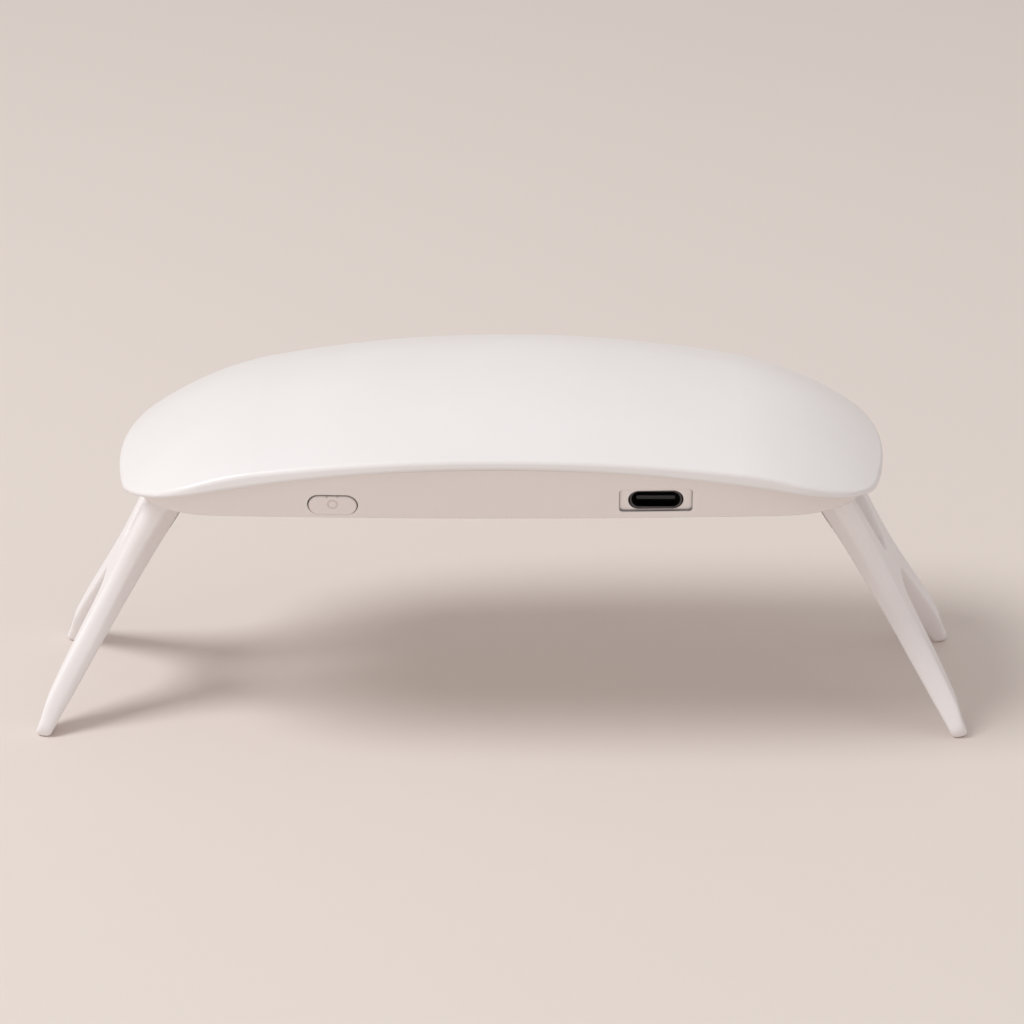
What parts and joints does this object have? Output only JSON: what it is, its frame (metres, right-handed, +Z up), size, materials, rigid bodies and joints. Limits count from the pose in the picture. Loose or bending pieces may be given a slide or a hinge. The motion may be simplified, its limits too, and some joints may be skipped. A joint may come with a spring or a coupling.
{
  "type": "led nail lamp",
  "caption": "Small table lamp for curing nail gel: a crowned oval body on two folding wishbone legs, with a timer button and a socket in the front wall.",
  "frame": {"origin": "on the table, under the middle of the lamp standing on its open legs", "axes": "+X along the long side from the button end to the socket end, +Y away from the user, +Z up"},
  "size_m": [0.1638, 0.0696, 0.0608],
  "materials": {
    "shell_white": "satin gloss",
    "housing_white": "fine satin",
    "leg_white": "satin",
    "button_white": "satin",
    "reflector_white": "polished",
    "board_white": "satin",
    "lamp_resin": "clear gloss",
    "chip_black": "matt",
    "ferrite": "matt",
    "ceramic": "satin",
    "port_metal": "bright",
    "steel": "bright zinc"
  },
  "bodies": {
    "housing": {"board_screws": "steel", "capacitors": "ceramic", "driver_chip": "chip_black", "housing_screws": "steel", "led_1": "lamp_resin", "led_2": "lamp_resin", "led_3": "lamp_resin", "led_4": "lamp_resin", "led_5": "lamp_resin", "led_6": "lamp_resin", "left_hinge_pin": "steel", "lower_housing": "housing_white", "main_board": "board_white", "power_inductor": "ferrite", "reflector": "reflector_white", "resistors": "chip_black", "right_hinge_pin": "steel", "switch_body": "chip_black", "timer_chip": "chip_black", "top_shell": "shell_white", "usb_insulator": "chip_black", "usb_shell": "port_metal"},
    "left_leg": {"left_leg": "leg_white"},
    "right_leg": {"right_leg": "leg_white"},
    "timer_button": {"timer_button": "button_white", "switch_plunger": "button_white"}
  },
  "joints": [
    {"name": "right_leg_fold", "type": "hinge", "parent": "housing", "child": "right_leg", "pos_m": [0.0556, 0, 0.0455], "axis": [0, 1, 0], "range_deg": [0, 115.5]},
    {"name": "left_leg_fold", "type": "hinge", "parent": "housing", "child": "left_leg", "pos_m": [-0.0556, 0, 0.0455], "axis": [0, -1, 0], "range_deg": [0, 115.5]},
    {"name": "timer_button_press", "type": "slide", "parent": "housing", "child": "timer_button", "axis": [0, 1, 0], "range_m": [0, 0.0004], "stiffness_N_per_m": 4000, "springref_m": -0.0001}
  ]
}
